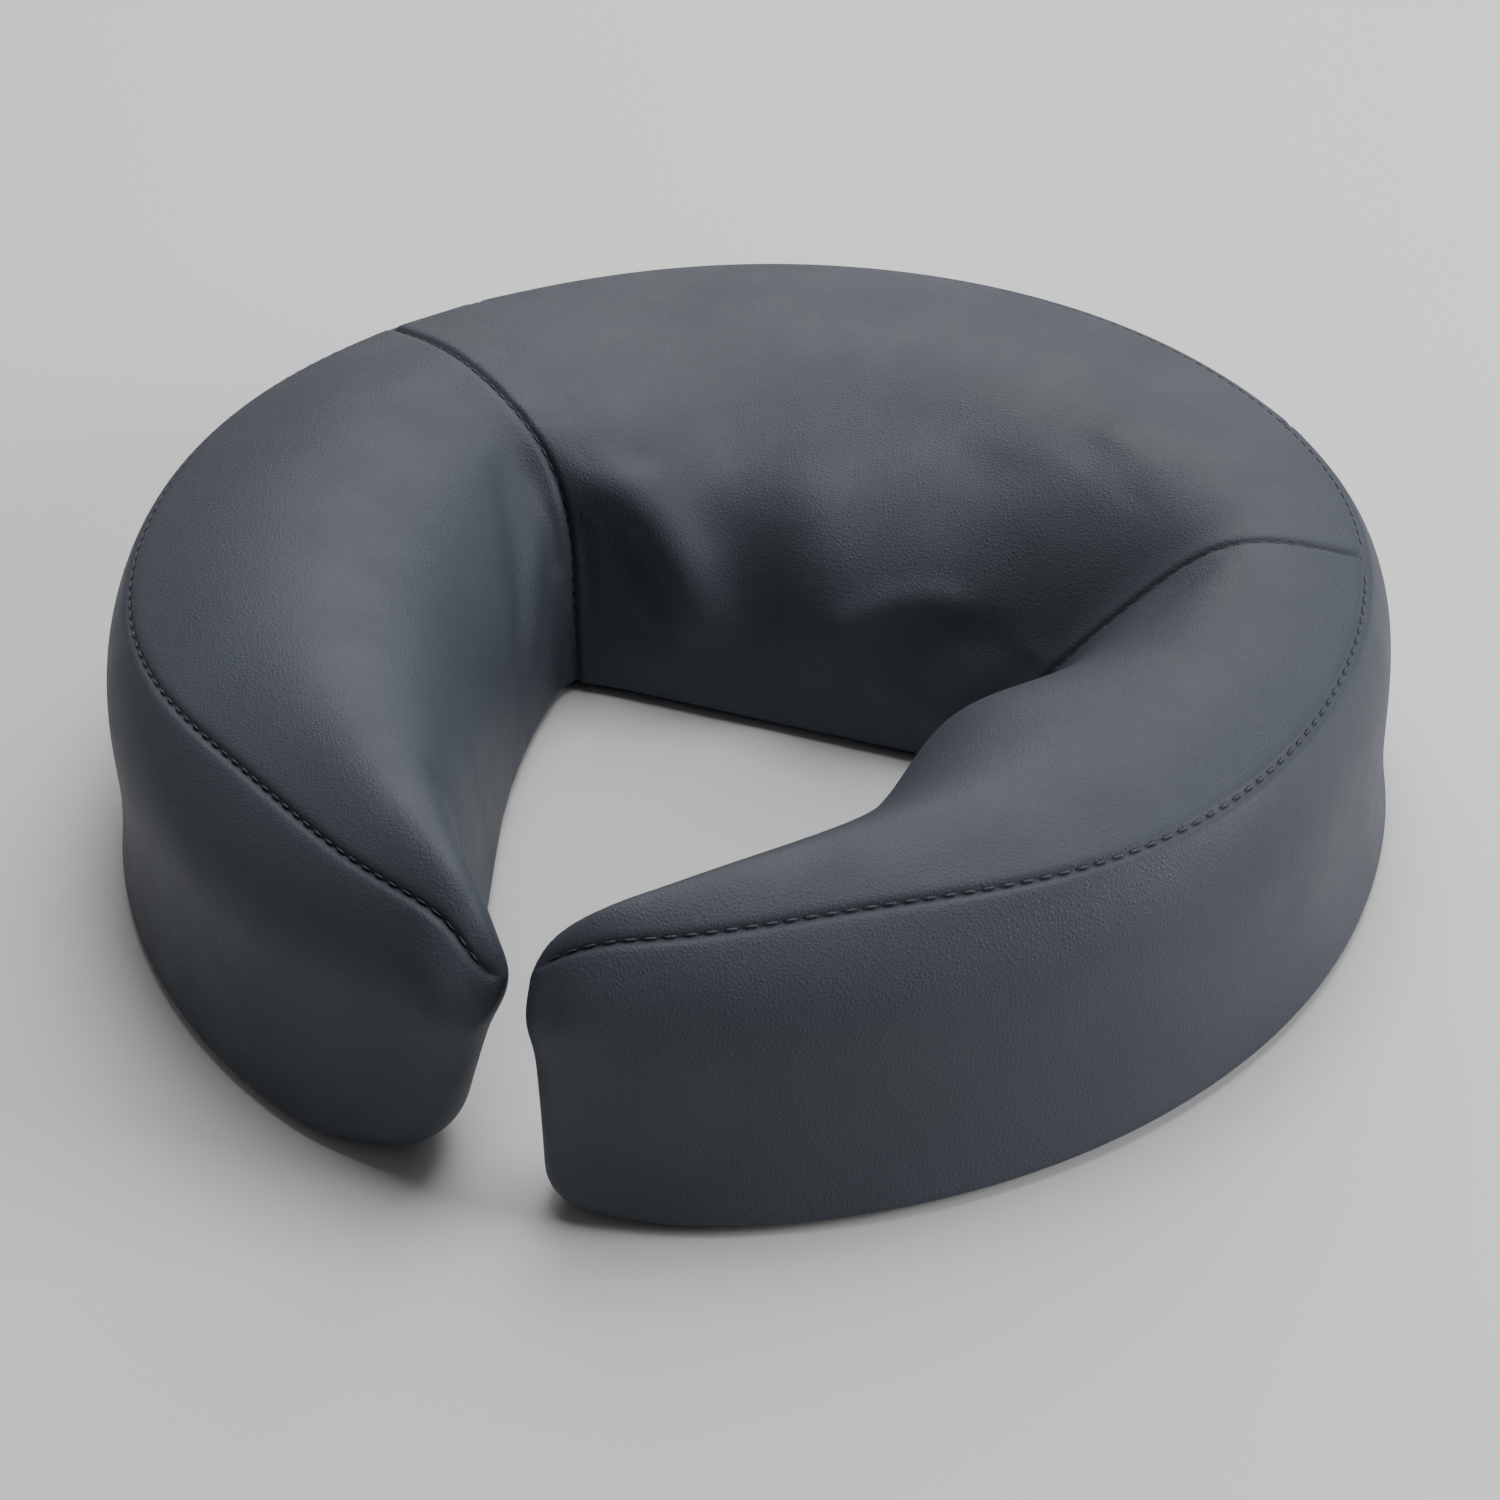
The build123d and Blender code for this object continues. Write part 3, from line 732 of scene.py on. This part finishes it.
def leather_material():
    """Blue-grey coated leather: fine pebbled grain, soft sheen and slight tone changes."""
    leather = Surface("blue_grey_leather", 0.55, specular=0.3)
    leather.color(leather.noise(0.05, 4), (0.0405, 0.0485, 0.062), (0.0485, 0.0575, 0.073))
    leather.rough(leather.noise(0.02, 5), 0.5, 0.62)
    leather.bump(leather.noise(0.012, 4), 0.0005, 0.35)
    leather.bump(leather.cells(0.0011), 0.0003, 0.6)
    leather.bump(leather.noise(0.0005, 2), 0.00015, 0.5)
    return leather.material


def thread_material():
    """Dark blue-grey thread."""
    thread = Surface("stitching_thread", 0.6)
    thread.color(thread.noise(0.0006), (0.03, 0.036, 0.046), (0.07, 0.08, 0.095))
    thread.bump(thread.noise(0.0004), 0.0002)
    return thread.material


def base_cloth_material():
    """Brushed loop cloth that the hook strips and a face cradle hold on to."""
    cloth = Surface("brushed_loop_cloth", 0.95, specular=0.15)
    cloth.color(cloth.noise(0.004, 5), (0.012, 0.013, 0.015), (0.028, 0.030, 0.034))
    cloth.bump(cloth.cells(0.0016, "F1"), 0.0008, 0.8)
    cloth.bump(cloth.noise(0.0006, 3), 0.0004, 0.6)
    return cloth.material


def hook_material():
    """Hook tape: rows of tiny stiff hooks."""
    hooks = Surface("hook_tape", 0.5, specular=0.4)
    hooks.color(hooks.cells(0.0013, "F1"), (0.035, 0.037, 0.042), (0.012, 0.013, 0.015))
    hooks.bump(hooks.cells(0.0013, "F1"), 0.0012, 1.0)
    hooks.bump(hooks.ridges(0.0016, "Y"), 0.0004, 0.5)
    return hooks.material


def zip_tape_material():
    """Woven zip tape."""
    tape = Surface("woven_zip_tape", 0.85, specular=0.2)
    tape.color(tape.noise(0.003, 4), (0.020, 0.025, 0.032), (0.036, 0.043, 0.053))
    tape.bump(tape.ridges(0.0007, "Z"), 0.0003, 0.8)
    tape.bump(tape.ridges(0.0009, "X"), 0.0002, 0.6)
    return tape.material


def zip_teeth_material():
    """Moulded plastic teeth."""
    teeth = Surface("moulded_teeth", 0.35)
    teeth.color(teeth.noise(0.004), (0.018, 0.021, 0.026), (0.030, 0.034, 0.041))
    teeth.rough(teeth.noise(0.0015), 0.28, 0.45)
    teeth.bump(teeth.noise(0.0007), 0.00008, 0.4)
    return teeth.material


def zip_metal_material():
    """Dark plated metal, brushed and worn a little."""
    metal = Surface("dark_plated_metal", 0.3, metallic=1.0)
    metal.color(metal.noise(0.002, 5), (0.16, 0.165, 0.175), (0.30, 0.31, 0.33))
    brushed = metal.stretched((1.0, 1.0, 12.0))
    metal.rough(metal.noise(0.001, 4, brushed), 0.22, 0.42)
    metal.bump(metal.noise(0.0008, 4, brushed), 0.00005, 0.4)
    return metal.material


def foam_material(name, dark, light, cell):
    """Open-cell foam."""
    foam = Surface(name, 0.95, specular=0.1)
    foam.color(foam.noise(0.01, 4), dark, light)
    foam.bump(foam.cells(cell, "F1"), 0.0008, 0.9)
    return foam.material


# ---------------------------------------------------------------- stage
FLOOR_GAP = 0.0004  # metres below the strips' faces
FLOOR_SIZE = 6
SKY_STRENGTH = 0.12


def build_stage():
    """Pale floor, even sky and four soft lights."""
    bpy.ops.mesh.primitive_plane_add(size=FLOOR_SIZE, location=(0, 0, -FLOOR_GAP))
    floor = bpy.context.object
    floor.name = "floor"
    paper = Surface("studio_paper", 0.9, specular=0.1)
    paper.color(paper.noise(0.5), (0.71, 0.71, 0.71), (0.73, 0.73, 0.73))
    floor.data.materials.append(paper.material)

    world = bpy.data.worlds.new("studio")
    bpy.context.scene.world = world
    world.use_nodes = True
    world.node_tree.nodes["Background"].inputs["Color"].default_value = (1, 1, 1, 1)
    world.node_tree.nodes["Background"].inputs["Strength"].default_value = SKY_STRENGTH

    def area(name, location, target, size, power):
        light = bpy.data.lights.new(name, "AREA")
        light.energy = power
        light.size = size
        obj = bpy.data.objects.new(name, light)
        obj.location = location
        obj.rotation_euler = (Vector(target) - Vector(location)).to_track_quat("-Z", "Y").to_euler()
        bpy.context.scene.collection.objects.link(obj)

    area("back", (-0.3, 1.3, 1.0), (0, 0, 0.05), 1.3, 15)
    area("overhead", (0.1, 0.3, 1.5), (0, 0, 0.05), 1.0, 18.5)
    area("right", (1.3, 0.15, 0.55), (0, 0, 0.05), 0.6, 15)
    area("left", (-1.3, 0.3, 0.6), (0, 0, 0.05), 0.6, 0.8)


def build_camera():
    """Camera in front of the right arm, looking down at the face hole."""
    azimuth, elevation, roll = math.radians(20.683), math.radians(36.473), math.radians(-2.041)
    distance = 0.862
    aim = Vector((0.0129, -0.03015, 0.036))
    forward = Vector((
        -math.sin(azimuth) * math.cos(elevation),
        math.cos(azimuth) * math.cos(elevation),
        -math.sin(elevation),
    ))
    cam = bpy.data.cameras.new("camera")
    cam.lens = 84.0
    cam.sensor_width = 36.0
    obj = bpy.data.objects.new("camera", cam)
    right = forward.cross(Vector((0, 0, 1))).normalized()
    up = right.cross(forward)
    x = right * math.cos(roll) + up * math.sin(roll)
    y = up * math.cos(roll) - right * math.sin(roll)
    rotation = Matrix((x, y, -forward)).transposed()
    obj.matrix_world = Matrix.Translation(aim - forward * distance) @ rotation.to_4x4()
    bpy.context.scene.collection.objects.link(obj)
    bpy.context.scene.camera = obj


# ---------------------------------------------------------------- assembly
CAD_FINISHES = {
    "hook_strip_left": hook_material,
    "hook_strip_right": hook_material,
    "hook_strip_brow": hook_material,
    "zip_tape_upper": zip_tape_material,
    "zip_tape_lower": zip_tape_material,
    "zip_teeth_upper": zip_teeth_material,
    "zip_teeth_lower": zip_teeth_material,
    "zip_end_stops": zip_metal_material,
    "zip_slider": zip_metal_material,
    "zip_pull_tab": zip_metal_material,
}


def finish_piece(obj, material):
    """Gives a piece its material and fixes it to the cushion."""
    obj.data.materials.append(material)
    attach(obj, "cushion")


build_camera()
build_stage()
panels, top_grids = build_leather()
leather = leather_material()
for piece in panels:
    finish_piece(piece, leather)
thread = thread_material()
for piece in build_stitches(top_grids):
    finish_piece(piece, thread)
finish_piece(build_base(), base_cloth_material())
core, comfort = build_foam()
finish_piece(core, foam_material("firm_foam", (0.42, 0.42, 0.40), (0.50, 0.50, 0.47), 0.0014))
finish_piece(comfort, foam_material("soft_foam", (0.62, 0.56, 0.42), (0.70, 0.64, 0.50), 0.0011))

made_finishes = {}
for node, make in CAD_FINISHES.items():
    if make not in made_finishes:
        made_finishes[make] = make()
    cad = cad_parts[node]
    cad.data.materials.clear()
    cad.data.materials.append(made_finishes[make])
